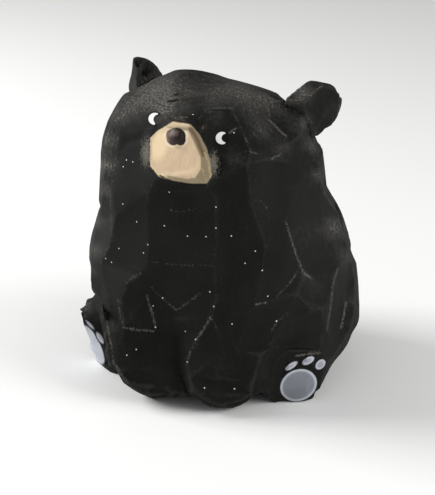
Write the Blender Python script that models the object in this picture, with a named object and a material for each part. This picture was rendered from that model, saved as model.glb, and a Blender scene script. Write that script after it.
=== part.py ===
"""A seated bear carved with a knife from one block of wood and painted black.

Metres, +Z up. The bear looks along -Y, so its own left side is +X. The origin
is in the middle of the flat base, on the surface that the bear stands on.
"""
import math

import bmesh
import bpy
import numpy as np
from mathutils import Matrix, Vector

# Height of the bear in metres, from the surface that it stands on to the top of its ears.
HEIGHT = 0.090

# The carving keeps its proportions, so the values below are hundredths of the height.
# Half sizes are given as across, deep, high, and places as across, deep, high from the origin.
# Where two values are given, -1 is the bear's right side (-X) and 1 its left side (+X).
SHARE = HEIGHT / 100.0

BLOCK_MIDDLE = (0.5, -8.6, 51.0)
BLOCK_HALF = (35.7, 31.2, 48.5)
TRUNK_MIDDLE = (1.4, -3.5, 38.2)
TRUNK_HALF = (41.4, 35.0, 37.0)
RUMP_MIDDLE = (3.1, 6.7, 25.5)
RUMP_HALF = (40.2, 34.4, 31.9)
BACK_MIDDLE = (1.8, 4.2, 45.9)
BACK_HALF = (33.2, 26.8, 30.6)

HOLLOW_MIDDLE = (-0.8, -41.1, 19.1)
HOLLOW_HALF = (8.2, 11.5, 16.6)

ARM_MIDDLES = {-1: (-14.0, -24.8, 27.0), 1: (14.0, -25.0, 27.0)}
ARM_LEANS = {-1: (-6.0, -13.5), 1: (-6.0, 10.5)}
ARM_HALF = (13.0, 15.3, 29.3)

THIGH_MIDDLES = {-1: (-24.3, -3.5, 15.9), 1: (29.9, -3.0, 14.8)}
THIGH_HALF = (12.1, 17.2, 18.5)
THIGH_UNDERCUTS = [(100, -36, 0.8), (70, -42, 0.84)]

FOOT_MIDDLES = {-1: (-29.8, -15.0, 11.7), 1: (27.8, -15.2, 11.0)}
FOOT_HALF = (10.7, 11.4, 14.0)
SOLE_SPLAY = 42.0
SOLE_DROP = 18.0

EAR_MIDDLES = {-1: (-28.0, 5.7, 87.4), 1: (29.6, 3.3, 89.8)}
EAR_HALVES = {-1: (8.8, 2.9, 12.6), 1: (8.0, 3.1, 7.2)}
EAR_FACING = {-1: -100.0, 1: 66.0}

SOCKET_MIDDLES = {-1: (-16.3, -34.9, 88.0), 1: (14.2, -37.9, 86.1)}
SOCKET_HALF = (11.4, 8.9, 10.6)
SOCKET_FACING = {-1: -34.0, 1: 14.0}
SOCKET_LEAN = -12.0

MUZZLE_MIDDLE = (3.0, -31.4, 81.4)
MUZZLE_HALF = (10.6, 9.6, 9.4)
MUZZLE_TURN = (-20.0, -7.0, -13.0)

NOSE_MIDDLE = (0.0, -37.2, 87.5)
NOSE_HALF = (3.1, 2.8, 2.9)

# The hand wanders: share of the spacing, degrees of aim, and how deep a cut may go.
SPACING_WANDER = 0.22
AIM_WANDER = 6.0
SHALLOW_CUT = 0.985
DEEP_CUT = 0.925

# Knife cuts placed one by one: azimuth, elevation and depth, where depth 1 only touches the rounded mass.
BLOCK_CUTS = [
    (3, 0, 0.95), (-32, 3, 0.97), (-60, 2, 0.955), (-88, 0, 0.97), (35, 0, 0.97), (64, 3, 0.96),
    (92, 0, 0.96), (120, 4, 0.95), (150, 0, 0.97), (180, 2, 0.95), (212, 3, 0.97), (242, 0, 0.96),
    (-8, 22, 0.955), (-48, 20, 0.985), (30, 20, 0.965), (68, 24, 0.96), (-82, 24, 0.99),
    (110, 22, 0.95), (150, 24, 0.97), (190, 22, 0.96), (230, 24, 0.97),
    (-10, 44, 0.965), (-58, 42, 1.0), (40, 42, 0.96), (85, 45, 0.955), (130, 42, 0.955),
    (175, 45, 0.97), (222, 43, 0.965), (262, 45, 1.0),
    (-15, 68, 0.96), (55, 66, 0.92), (125, 68, 0.925), (70, 80, 0.945), (200, 66, 0.965), (275, 68, 0.97),
    (-42, -26, 0.96), (45, -26, 0.96), (-85, -22, 0.97), (85, -22, 0.97), (0, -38, 0.95),
]
TRUNK_CUTS = [
    (-45, -35, 0.86), (45, -35, 0.86),
    (-14, -16, 0.96), (18, -15, 0.965), (-46, -14, 0.965), (50, -16, 0.96), (-80, -14, 0.965),
    (84, -15, 0.965), (118, -12, 0.96), (155, -14, 0.96), (200, -14, 0.96), (240, -12, 0.96),
    (2, 6, 0.95), (-30, 6, 0.965), (-58, 4, 0.95), (-88, 6, 0.965), (34, 5, 0.965), (66, 4, 0.955),
    (96, 5, 0.96), (130, 6, 0.96), (170, 5, 0.96), (215, 6, 0.96), (250, 5, 0.96),
    (-20, 26, 0.96), (22, 25, 0.965), (-62, 24, 0.96), (62, 26, 0.95), (108, 24, 0.92),
    (150, 24, 0.96), (200, 26, 0.96), (255, 24, 0.96),
]
BACK_CUTS = [(112, 22, 0.86), (75, 24, 0.9), (150, 22, 0.92)]
HOLLOW_CUTS = [
    (180, 0, 0.9), (180, 35, 0.86), (-90, -28, 0.55), (90, -28, 0.55), (-90, 50, 0.8), (90, 50, 0.8),
    (150, 10, 0.9), (-150, 10, 0.9),
]
EAR_CUTS = {
    -1: [(0, 0, 0.95), (180, 0, 0.95), (48, 0, 0.72), (90, 17, 1.04), (-90, 64, 0.664), (-90, 56, 0.65),
         (-90, 39, 0.71), (-90, 5, 0.85), (0, -90, 0.9), (90, -45, 0.9), (-90, -45, 0.8)],
    1: [(0, 0, 1.0), (180, 0, 1.0), (-90, 0, 1.1), (-90, 70, 0.872), (90, 79, 0.92), (90, 39, 0.885),
        (90, -16, 0.859), (90, -61, 0.852), (90, -77, 0.903)],
}
SOCKET_CUTS = [
    (180, 0, 0.6), (180, 45, 0.72), (180, -22, 0.7), (125, 0, 0.8), (-125, 0, 0.8), (140, 35, 0.8),
    (-140, 35, 0.8), (90, 0, 0.9), (-90, 0, 0.9), (130, -30, 0.78), (-130, -30, 0.78),
]
MUZZLE_CUTS = [
    (0, 0, 0.73), (-76, -7, 0.97), (-53, 48, 1.0), (-4, 54, 1.02), (72, 29, 0.82), (78, 12, 0.89),
    (82, -13, 1.02), (6, -80, 0.89), (-71, -50, 0.92),
]
SOLE_CUT = [(0, 90, 0.6)]


def direction(azimuth, elevation):
    """Unit vector: azimuth 0 looks to the front (-Y) and 90 to the bear's left (+X)."""
    turn = math.radians(azimuth)
    rise = math.radians(elevation)
    return Vector((math.sin(turn) * math.cos(rise), -math.cos(turn) * math.cos(rise), math.sin(rise)))


def reach(half, squareness, normal):
    """Distance from the middle of a rounded mass to the plane that touches it along a normal."""
    power = squareness / (squareness - 1.0)
    return sum((size * abs(part)) ** power for size, part in zip(half, normal)) ** (1.0 / power)


def knife_cut(mesh, normal, distance):
    """Slices off what lies beyond a plane and closes the flat face that the blade leaves."""
    everything = mesh.verts[:] + mesh.edges[:] + mesh.faces[:]
    result = bmesh.ops.bisect_plane(
        mesh, geom=everything, dist=1e-6, plane_co=normal * distance, plane_no=normal, clear_outer=True
    )
    rim = [item for item in result["geom_cut"] if isinstance(item, bmesh.types.BMEdge)]
    if len(rim) > 2:
        bmesh.ops.contextual_create(mesh, geom=rim)


def carve(name, middle, half, squareness=2.3, rings=(), seed=0, cuts=(), turn=(0.0, 0.0, 0.0)):
    """A rounded mass left by flat knife cuts.

    A squareness of 2 is an egg, and more comes closer to a brick. Each ring gives an
    elevation, a number of cuts and the azimuth of the first one, and the hand wanders a
    little from cut to cut. The single cuts follow, then the mass is turned about X, Y and
    Z and set in its place.
    """
    chance = np.random.default_rng(seed)
    mesh = bmesh.new()
    bmesh.ops.create_cube(mesh, size=4.0 * max(half))
    for elevation, count, start in rings:
        for step in range(count):
            azimuth = start + (step + chance.uniform(-SPACING_WANDER, SPACING_WANDER)) * 360.0 / count
            normal = direction(azimuth, elevation + chance.uniform(-AIM_WANDER, AIM_WANDER))
            knife_cut(mesh, normal, chance.uniform(DEEP_CUT, SHALLOW_CUT) * reach(half, squareness, normal))
    for azimuth, elevation, depth in cuts:
        normal = direction(azimuth, elevation)
        knife_cut(mesh, normal, depth * reach(half, squareness, normal))
    place = Matrix.Translation(Vector(middle) * SHARE)
    for angle, axis in zip(reversed(turn), "ZYX"):
        place @= Matrix.Rotation(math.radians(angle), 4, axis)
    bmesh.ops.transform(mesh, matrix=place @ Matrix.Scale(SHARE, 4), verts=mesh.verts)
    bmesh.ops.recalc_face_normals(mesh, faces=mesh.faces)
    return as_object(name, mesh)


def as_object(name, mesh):
    """Puts finished geometry into the scene under its name."""
    data = bpy.data.meshes.new(name)
    mesh.to_mesh(data)
    mesh.free()
    made = bpy.data.objects.new(name, data)
    bpy.context.collection.objects.link(made)
    return made


def combine(base, other, operation):
    """Joins another mass to the base, or cuts it away, and leaves one closed mesh."""
    modifier = base.modifiers.new(other.name, "BOOLEAN")
    modifier.operation = operation
    modifier.solver = "EXACT"
    modifier.object = other
    shaped = base.evaluated_get(bpy.context.evaluated_depsgraph_get())
    old_data = base.data
    new_data = bpy.data.meshes.new_from_object(shaped)
    base.modifiers.clear()
    base.data = new_data
    bpy.data.meshes.remove(old_data)
    bpy.data.objects.remove(other)


def painted_wood(name, colour, roughness):
    """Paint on wood, as one colour."""
    material = bpy.data.materials.new(name)
    material.use_nodes = True
    shader = material.node_tree.nodes["Principled BSDF"]
    shader.inputs["Base Color"].default_value = (*colour, 1.0)
    shader.inputs["Roughness"].default_value = roughness
    shader.inputs["Metallic"].default_value = 0.0
    return material


for old_object in list(bpy.data.objects):
    bpy.data.objects.remove(old_object)

# Head, chest and front of the body are one tall mass that tapers to the top of the head.
bear = carve("bear", BLOCK_MIDDLE, BLOCK_HALF, squareness=2.7, rings=[(88, 1, 0)], seed=3, cuts=BLOCK_CUTS)

rump = carve(
    "rump", RUMP_MIDDLE, RUMP_HALF, seed=5,
    rings=[(-62, 6, 0), (-38, 9, 0), (-12, 11, 18), (15, 11, 0), (42, 8, 0), (70, 4, 0), (88, 1, 0)],
)
combine(bear, rump, "UNION")

back = carve(
    "back", BACK_MIDDLE, BACK_HALF, seed=8, cuts=BACK_CUTS,
    rings=[(-30, 8, 0), (0, 9, 18), (30, 9, 0), (60, 5, 0), (88, 1, 0)],
)
combine(bear, back, "UNION")

trunk = carve(
    "trunk", TRUNK_MIDDLE, TRUNK_HALF, squareness=2.5, seed=9, cuts=TRUNK_CUTS,
    rings=[(-62, 6, 0), (-38, 9, 0), (45, 8, 10), (70, 4, 0), (88, 1, 0)],
)
combine(bear, trunk, "UNION")

# The belly ends in a blunt point between the arms, with a hollow under it.
hollow = carve("hollow", HOLLOW_MIDDLE, HOLLOW_HALF, rings=[(-80, 1, 0)], seed=91, cuts=HOLLOW_CUTS)
combine(bear, hollow, "DIFFERENCE")

for side in (-1, 1):
    arm = carve(
        "arm", ARM_MIDDLES[side], ARM_HALF, squareness=2.6, seed=11 + side, turn=(*ARM_LEANS[side], 0.0),
        rings=[(-76, 5, 0), (-58, 9, 0), (-36, 10, 18), (-10, 10, 0), (14, 9, 20), (44, 7, 10), (72, 4, 0)],
    )
    combine(bear, arm, "UNION")
    thigh = carve(
        "thigh", THIGH_MIDDLES[side], THIGH_HALF, seed=21 + side,
        rings=[(-40, 6, 0), (0, 9, 12), (35, 8, 0), (68, 4, 0)],
        cuts=[(side * azimuth, elevation, depth) for azimuth, elevation, depth in THIGH_UNDERCUTS],
    )
    combine(bear, thigh, "UNION")
    foot = carve(
        "foot", FOOT_MIDDLES[side], FOOT_HALF, squareness=2.9, seed=31 + side, cuts=SOLE_CUT,
        rings=[(-45, 7, 0), (0, 10, 18), (38, 10, 0)], turn=(90.0 + SOLE_DROP, 0.0, side * SOLE_SPLAY),
    )
    combine(bear, foot, "UNION")
    ear = carve(
        "ear", EAR_MIDDLES[side], EAR_HALVES[side], squareness=2.8, cuts=EAR_CUTS[side],
        turn=(0.0, 0.0, EAR_FACING[side]),
    )
    combine(bear, ear, "UNION")

# Two shallow scoops under the brow hold the eyes, one on each side of the muzzle.
for side in (-1, 1):
    socket = carve(
        "socket", SOCKET_MIDDLES[side], SOCKET_HALF, cuts=SOCKET_CUTS,
        turn=(SOCKET_LEAN, 0.0, SOCKET_FACING[side]),
    )
    combine(bear, socket, "DIFFERENCE")

muzzle = carve(
    "muzzle", MUZZLE_MIDDLE, MUZZLE_HALF, squareness=2.4, rings=[(88, 1, 0), (-88, 1, 0)], seed=51,
    cuts=MUZZLE_CUTS, turn=MUZZLE_TURN,
)
combine(bear, muzzle, "UNION")

nose = carve(
    "nose", NOSE_MIDDLE, NOSE_HALF, rings=[(-50, 6, 0), (-8, 8, 22), (36, 7, 0), (75, 3, 0)], seed=101,
    turn=MUZZLE_TURN,
)
combine(bear, nose, "UNION")

# Everything below the standing surface is sawn off flat.
waste = bmesh.new()
bmesh.ops.create_cube(waste, size=2.0 * HEIGHT)
bmesh.ops.translate(waste, vec=(0.0, 0.0, -HEIGHT), verts=waste.verts)
combine(bear, as_object("waste", waste), "DIFFERENCE")

bear.data.materials.clear()
bear.data.materials.append(painted_wood("painted wood", (0.018, 0.018, 0.017), 0.6))
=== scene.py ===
"""The finish of the carved bear: knife-cut wood under matt black paint, a bare muzzle and painted pads.

Millimetres, in the bear's own frame: it looks along -Y, and its left side is +X. Places on it
are pixels of a 435 x 495 picture, and are found on the wood by looking through the camera.
"""
import math

import bmesh
import bpy
import numpy as np
from mathutils import Matrix, Vector
from mathutils.bvhtree import BVHTree
from mathutils.geometry import tessellate_polygon


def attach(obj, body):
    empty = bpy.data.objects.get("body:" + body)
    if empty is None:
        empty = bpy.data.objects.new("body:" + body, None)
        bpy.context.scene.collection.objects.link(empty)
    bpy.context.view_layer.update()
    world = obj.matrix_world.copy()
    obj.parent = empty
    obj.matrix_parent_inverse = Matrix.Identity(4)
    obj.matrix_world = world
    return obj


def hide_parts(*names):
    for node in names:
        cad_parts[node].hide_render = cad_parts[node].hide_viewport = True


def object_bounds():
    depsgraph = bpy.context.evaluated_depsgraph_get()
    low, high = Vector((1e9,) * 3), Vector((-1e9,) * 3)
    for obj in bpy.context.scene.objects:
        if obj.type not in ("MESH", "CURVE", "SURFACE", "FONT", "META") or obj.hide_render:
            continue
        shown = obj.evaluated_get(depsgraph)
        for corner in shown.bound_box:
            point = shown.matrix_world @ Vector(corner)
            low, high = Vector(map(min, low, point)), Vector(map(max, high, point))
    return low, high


MM = 0.001

PICTURE_WIDTH = 435
PICTURE_HEIGHT = 495
FOCAL_PIXELS = 1500.0
SENSOR_WIDTH = 36.0
CAMERA_PLACE = np.array((146.6, -376.2, 196.0))
CAMERA_AIM = np.array((0.1, -3.6, 37.3))

# The knife works on a fine even mesh of this grain in mm, which is thinned out at the end.
GRAIN = 0.58
MOST_TRIANGLES = 188000
CHANCE = np.random.default_rng(7)
# How far a face may turn away from the camera and still count as seen, and on the right sole as
# marked: edge on is 0, facing away 1.
TURNED_AWAY = 0.1
SOLE_TURNED_AWAY = 0.7

# Where the block is left as the solid has it, or nearly so: middle, radius and fade.
EARS = [((-25.2, 5.1, 80.5), 9.5, 3.0), ((28.4, -2.5, 83.0), 8.5, 3.0)]
FEET = [((-27.5, -13.5, 9.0), 9.0, 4.0), ((26.5, -13.7, 9.0), 9.0, 4.0)]
MUZZLE = ((2.7, -31.0, 73.3), 10.5, 1.5)
EARS_KEPT = 0.97
FEET_KEPT = 0.9
# Below this height the wood is less and less free to move, so that the base stays flat.
BASE_HEIGHT = 1.5

# The bear's outline, clockwise from the right ear, and the outlines of the two ears.
OUTLINE = [
    (163, 73), (170, 72), (185, 70.5), (195, 70), (205, 71.5), (215, 75), (225, 78), (235, 80.5),
    (250, 84.5), (263, 88.5), (275, 93), (286, 98), (319, 133), (321, 146), (323, 155), (324, 165),
    (325, 175), (327, 186), (330.5, 195), (336.5, 204), (342.5, 214), (345, 225), (348, 235), (351, 247),
    (354, 258), (356.5, 270), (358, 285), (358.5, 300), (358.5, 316), (356, 326), (351, 335), (346, 345),
    (339, 355), (332, 363.5), (326, 374), (323, 383), (314, 394), (307, 400), (300, 401.5), (285, 400.5),
    (272, 400), (265, 397), (258, 395), (253, 397.5), (246, 401.5), (237, 405.5), (225, 407.5), (213, 406.5),
    (203, 403.5), (196, 399), (190, 395), (180, 395.5), (170, 397), (158, 397), (148, 396), (138, 393),
    (131, 388), (127, 384.5), (122.5, 379.5), (118.5, 374), (113, 371.8), (107.5, 370), (103.5, 366),
    (99, 362), (94, 354), (90.5, 342), (86.5, 330), (83, 320), (80, 308.5), (85.5, 302.5), (93, 297),
    (92, 285), (91, 275), (91, 265), (90, 255), (90, 245), (92, 235), (95, 225), (98, 215), (99.5, 205),
    (100, 195), (100, 185), (100.5, 175), (101, 165), (101.5, 155), (102, 145), (104, 135), (107, 125),
    (111.5, 115), (116.5, 105), (124, 95),
]
RIGHT_EAR_OUTLINE = [
    (128.5, 89), (130.5, 82), (132, 72), (134, 62), (135, 56.5), (142, 58), (149.5, 61), (156, 65.5),
    (160, 72),
]
LEFT_EAR_OUTLINE = [
    (290, 96), (300, 88), (307, 82.5), (313, 81), (322, 83), (329, 84.5), (337, 91), (341.5, 97), (340, 108),
    (338.5, 116), (334, 122), (327, 128), (320, 132),
]
# How many pixels outside its outlines the wood is brought, as the rubbing down takes some off.
OUTLINE_ROOM = 0.7
# An outline's point moves what is this near to it in pixels, along the outline and across it.
PEG_SIDE = 2.0
PEG_ACROSS = 14
# Below this height in mm the outline is that of the base, which moves level.
FLOOR_NEAR = 12

# The knife's flat facets that show from the front are a net of corners, and the corners of each facet.
# The corners' pixels are given by group: its letters, and the number of the first.
NET_GROUPS = [
    # The rim of the net, just inside the outline, clockwise from the right ear.
    ("r", 1, [
        (134, 90), (150, 81), (163, 76), (180, 74.5), (197, 73.5), (215, 78.5), (235, 84), (250, 88),
        (264, 92), (284, 100.5), (294, 105), (304, 115), (311, 127), (316, 137), (318.5, 150),
        (321, 165), (322, 180), (324, 191), (329, 200), (338, 212), (342, 226), (345, 238), (348, 250),
        (351, 262), (354, 275), (355.5, 290), (355.5, 305), (354.5, 318), (349, 331), (342, 344),
        (335, 355), (328, 361), (321, 350), (308, 351), (296, 352), (286, 347), (273, 348), (263, 355),
        (258, 368), (254, 383), (250, 393), (243, 400), (235, 403), (225, 404.5), (214, 404), (203, 400),
        (194, 393.5), (186, 392), (178, 392.5), (166, 393.5), (155, 393), (143, 391), (134, 386),
        (128, 380), (120, 371), (115, 366), (110.5, 352), (108, 335), (105, 318), (101, 300), (96, 290),
        (94.5, 278), (93.5, 265), (92.5, 250), (94.5, 236), (98, 221), (101, 206), (102, 192),
        (102.8, 178), (103.5, 162), (104.5, 147), (106.5, 136), (110, 125), (114.5, 114), (120, 105),
        (127, 97),
    ]),
    # The face round the muzzle, the muzzle's front and its foot.
    ("m", 1, [
        (150, 129), (146, 141), (146, 160), (149, 170), (156, 179), (173, 185), (190, 188), (208, 189),
        (216, 180), (216, 165), (211, 148), (203, 133), (195, 123), (184, 118.5), (169, 119), (157, 124),
    ]),
    ("q", 1, [
        (152, 139), (152, 165), (160, 173.2), (172, 176.2), (187, 179.2), (195.5, 177.5), (201, 169),
        (200.8, 158), (195.5, 145.5), (188.5, 131),
    ]),
    ("q", 12, [(167, 128), (158, 133.5)]),
    ("t", 1, [
        (191, 125), (199, 134), (206, 147), (210, 160), (212, 175), (207, 183.5), (190, 183.5), (172, 180.5),
        (158.5, 176), (150.3, 166), (150.3, 138), (157, 131.5), (166, 126), (173, 121.8), (188, 124),
    ]),
    # Right foot: its rim, then its top, side and sole.
    ("r", 77, [
        (94.5, 299.5), (82, 309.5), (84.8, 320), (88.5, 332), (92.5, 345), (98.5, 358), (105, 364.5),
        (111.5, 369.5),
    ]),
    ("v", 1, [
        (99, 303), (102.5, 318), (87.5, 320), (96.5, 330), (104, 343), (104.5, 360), (105.5, 335),
        (109, 352),
    ]),
    # Left ear's rim and face.
    ("y", 1, [
        (292, 96.8), (310.5, 82.5), (321.5, 84.8), (304.5, 101), (298, 99.5), (335, 91.5), (339.5, 98.5),
        (337.5, 115), (332, 121.5), (321, 129), (314, 121), (306, 108),
    ]),
    # Right side of the face, brow and forehead, and the fold on the left side of the belly.
    ("i", 1, [
        (135, 107), (131, 127), (121, 135), (119, 153), (114, 175), (111, 190), (115, 215), (110, 240),
        (101, 263),
    ]),
    ("h", 1, [(170, 86), (171.5, 101), (150, 99)]),
    ("h", 5, [(178, 107), (176, 113)]),
    ("h", 8, [(232, 92.5), (212, 85), (190, 83)]),
    ("e", 1, [
        (141, 117), (144, 129), (140, 140), (128, 142), (137, 168), (266, 247), (292, 282), (277, 294),
        (262, 270), (255, 304),
    ]),
    # Left eye's hollow and cheek.
    ("s", 2, [(199, 119), (207, 111.5), (214, 109.5), (222, 109), (232, 109)]),
    ("s", 8, [(239, 124), (245, 137), (251, 152), (248, 164)]),
    ("d", 3, [(210, 122), (218, 129), (214, 148), (236, 128), (229, 133), (232, 160), (227, 147)]),
    ("c", 2, [
        (247, 101), (262, 97), (269, 104), (269, 120), (286, 136), (291, 143), (280, 154), (271, 159),
        (258, 154), (302, 114), (288, 107), (303, 124), (301, 134), (316, 160), (308, 146), (312, 170),
        (300, 178), (297, 165), (296, 187), (290, 203),
    ]),
    ("d", 2, [(252, 205)]),
    # Left flank and thigh.
    ("f", 1, [(320, 195)]),
    ("f", 3, [
        (321, 215), (323, 240), (324, 262), (322, 271), (309, 275), (304, 275), (299, 262), (293, 245),
        (286, 222),
    ]),
    ("g", 1, [(342, 262), (338, 268), (346, 274)]),
    ("hh", 1, [(333, 277), (332, 290), (327, 304), (322, 309), (314, 311), (305, 301), (297, 294)]),
    ("j", 1, [(348, 288), (346, 302), (341, 328), (337, 345), (331, 345), (327, 330)]),
    ("k", 1, [(322, 331)]),
    ("k", 4, [(284, 338), (281, 328), (288, 313)]),
    # Chest and belly.
    ("n", 1, [(147, 192), (148, 240), (147, 266), (139, 270)]),
    ("b", 1, [
        (216, 198), (217, 232), (214, 264), (216, 287), (200, 294), (177, 310), (161, 297), (151, 284),
    ]),
    ("u", 4, [(216, 291), (200, 298), (177, 314), (160, 301)]),
    # Left arm.
    ("ra", 1, [
        (217, 297), (214, 307), (211, 317), (204, 329), (196, 340), (190, 352), (187, 364), (189, 378),
        (247, 316), (231, 325), (218, 331), (222, 352), (238, 350), (237, 376), (221, 379),
    ]),
    ("l", 2, [(270, 345)]),
    # Right arm and the groove between the arms.
    ("la", 1, [
        (157, 330), (147, 296), (141, 274), (151, 331), (151, 352), (158, 370), (162, 385), (124, 328),
        (121, 300), (127, 282), (133, 368), (128, 355), (122, 340), (130, 378),
    ]),
    ("p", 1, [(112, 335), (107, 296), (114, 352)]),
    ("w", 1, [(171, 318), (178, 336), (180, 360), (182, 380)]),
]
NET_CORNERS = {
    f"{group}{number}": place
    for group, first, places in NET_GROUPS
    for number, place in enumerate(places, first)
}
# The muzzle's flat front, and the foot of its rim.
MUZZLE_FRONT = "q1 q2 q3 q4 q5 q6 q7 q8 q9 q10 q12 q13"
MUZZLE_FOOT = "t1 t2 t3 t4 t5 t6 t7 t8 t9 t10 t11 t12 t13 t14 t15"
NET_FACETS = [
    "r76 i1 i2 i3 r72 r73 r74 r75", "i3 i4 i5 i6 r68 r69 r70 r71 r72", "r76 r1 r2 r3 r4 h1 h2 h3 i1",
    "i1 h3 h2 h5 h6 m15 m16 m1 e2 e1", "i1 e1 i2", "i2 e1 e2 e3 e4 i3", "i3 e4 e3 e2 m1 m2 m3 m4 e5 i4",
    "i4 e5 m4 m5 n1 i6 i5", "r4 r5 r6 r7 h8 h9 h10 h1",
    "h1 h10 h9 h8 s6 s5 s4 s3 s2 m13 m14 m15 h6 h5 h2", "h8 r7 r8 r9 c3 c2 s6",
    "c3 r9 r10 r11 r12 c11 c12 c4", "s6 c2 c3 c4 c5 c6 c7 c8 c9 c10 s10 s9 s8",
    "c4 c12 c11 c13 c14 c7 c6 c5", "c11 r12 r13 r14 r15 r16 c15 c16 c14 c13",
    "c7 c14 c16 c15 c17 c18 c19", "s11 s10 c10 c9 c8 c7 c19 c18 c20 c21 f11 e6 d2",
    "c17 c15 r16 r17 r18 f1", "c18 c17 f1 f3 f4 f5 f6 f7 f8 f9 f10 f11 c21 c20",
    "f1 r18 r19 r20 r21 r22 r23 g1 g2 f6 f5 f4 f3", "g1 r23 r24 r25 g3 g2",
    "f8 f7 f6 hh1 hh2 hh3 hh4 hh5 hh6 hh7", "f6 g2 hh1", "g2 g3 j1 j2 j3 j4 j5 j6 hh3 hh2 hh1",
    "g3 r25 r26 r27 r28 r29 r30 j4 j3 j2 j1", "hh3 j6 k1 hh4", "j6 j5 j4 r30 r31 r32 r33 k1",
    "hh7 hh6 hh5 hh4 k1 r33 r34 r35 r36 k4 k5 k6", "k5 k4 r36 r37 l2", "i6 n1 n2 n3 n4 i9 i8 i7",
    "r68 i6 i7 i8 i9 r63 r64 r65 r66 r67", "n1 m5 m6 m7 m8 b1 b2 b3 n3 n2", "n3 b3 b4 b5 b6 b7 b8",
    "b7 b6 u6 u7", "b6 b5 u5 u6", "b5 b4 u4 u5", "m13 s2 s3 d3 d4 d5 m11 m12",
    "s3 s4 s5 s6 s8 d6 d7 d4 d3", "d7 d6 s8 s9 s10 s11 d8 d9", "d4 d7 d9 d5", "m9 m10 m11 d5 d9 d8",
    "m8 m9 d8 s11 d2 e6 b2 b1", "b2 e6 e9 e10 ra9 ra10 ra3 ra2 ra1 u4 b4 b3",
    "e6 f11 f10 f9 f8 e7 e8 e10 e9", "e8 e7 f8 hh7", "e10 e8 hh7 k6 k5 l2 r37 r38 ra13 ra9",
    "ra3 ra11 ra12 ra6 ra5 ra4", "ra3 ra10 ra9 ra13 ra12 ra11", "ra6 ra12 ra15 ra8 ra7",
    "ra12 ra13 ra14 ra15", "ra13 r38 r39 r40 ra14", "ra8 ra15 ra14 r40 r41 r42 r43 r44 r45 r46 r47",
    "n3 b8 b7 u7 w1 w2 la1 la2 la3 n4", "u7 u6 u5 u4 ra1 ra2 ra3 ra4 ra5 ra6 w2 w1",
    "la1 w2 w3 w4 r48 r49 r50 la7 la6 la5 la4", "w2 ra6 ra7 ra8 r47 r48 w4 w3",
    "la3 la2 la1 la4 la8 la9 la10", "i9 n4 la3 la10 la9 la8 p1 p2",
    "r63 i9 p2 p1 p3 r56 r57 r58 r59 r60 r61 r62", "la8 la4 la5 la6 la11 la12 la13",
    "la11 la6 la7 r50 r51 r52 r53 r54 la14", "la8 la13 la12 la11 la14 r54 r55 r56 p3 p1",
    MUZZLE_FRONT, "q10 q9 q8 q7 q6 t6 t5 t4 t3 t2 t1", "q12 q10 t1 t15 t14 t13", "q13 q12 t13 t12",
    "q1 q13 t12 t11", *(f"q{n + 1} q{n} t{12 - n} t{11 - n}" for n in range(1, 6)), "m1 m16 t12 t11",
    "m16 m15 t14 t13 t12", "m15 m14 t15 t14", "m14 m13 t1 t15",
    *(f"m{14 - n} m{13 - n} t{n + 1} t{n}" for n in range(1, 10)), "m4 m3 t10", "m3 m2 t11 t10",
    "m2 m1 t11", "r77 r78 r79 v3 v2 v1", "r79 r80 r81 r82 v6 v5 v4 v3", "v6 r82 r83",
    "v3 v4 v5 v6 r83 r84 v8 v7 v2", "y1 y2 y3 y4 y5", "y4 y3 y6 y7 y8 y9 y10 y11 y12",
]

# Corners that the knife put deeper than the block has them, or left prouder (below 0), in mm.
NET_DEEPER = {
    "w1": 1.5, "w2": 2.0, "w3": 3.0, "w4": 2.5, "r48": 2.0, "r49": 1.5, "u4": 1.6, "u5": 2.2, "u6": 2.2,
    "u7": 2.0, "k1": 2.4, "hh4": 2.0, "s3": -0.4, "s4": -0.5, "s5": -0.5, "s6": -0.4, "d3": 1.6, "d4": 2.2,
    "d6": 1.4, "d7": 2.0, "d9": 1.2, "d5": 0.8, "i1": -0.2, "e1": -0.3, "e2": 1.0, "e3": 1.6, "e4": 1.0,
    "i3": 0.4,
}
# Corners at the muzzle's foot take their depth from the face beside them, and those between the
# arms from the right arm.
NET_LEVEL_WITH = {
    "w3": "la6", "w4": "la7", "r48": "la7", "r49": "la7", **{f"t{n}": f"m{14 - n}" for n in range(1, 10)},
    "t10": "m3", "t11": "m2", "t12": "m1", "t13": "m16", "t14": "m15", "t15": "m14",
}
# Corners that are left free, where the block is not a guide to the facet beside them.
NET_LOOSE = {
    "r11", "r12", "r13", "c11", "c13", "r56", "r57", "r58", "r59", "r60", "p1", "p3", "v2", "v7", "v8",
    "r84",
}
# How firmly a corner stays at its depth while the facets are made flat.
LOOSE_HOLD = 0.02
RIM_HOLD = 20.0
MUZZLE_HOLD = 3.0
DEEPER_HOLD = 3.0
BLOCK_HOLD = 0.35
FLATNESS = 3.0
# About half a facet's width in pixels, which keeps the equations even.
FACET_PIXELS = 30
# How far in mm the wood may be moved on to a facet.
CARVED_REACH = 6.0
# Where it is moved so many mm more than the wood beside it, the step is rubbed down.
TEAR = 0.8
# Gaps beside the right foot and between the arms are filled with balls of wood of this radius in
# mm, behind these corners, so many pixels to their right.
FILLING = 3.2
FILLED_GAPS = [
    ("r60", 10), ("r59", 8), ("p1", 3), ("p1", 8), ("r58", 8), ("p3", 2), ("p3", 7), ("r57", 7), ("r56", 4),
    ("r56", 9), ("w3", 0), ("w4", -3), ("w4", 2), ("r48", -3), ("r49", 0),
]
# Where facets meet in a deep corner the wood is rubbed down more, as it would come out ragged:
# ellipses, given as middle, half sizes and turn in degrees, and the pixels over which they fade.
RAGGED = [
    ((180, 388), (12, 11), 0), ((110, 340), (6, 38), -8), ((266, 394), (10, 8), 0), ((279, 373), (6, 8), 0),
]
RAGGED_FADE = 3

# The nose's dome: its middle in pixels, then mm.
NOSE_PLACE = (176, 137)
NOSE_RADIUS = 2.65
NOSE_HEIGHT = 1.5
NOSE_REACH = 3

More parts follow.
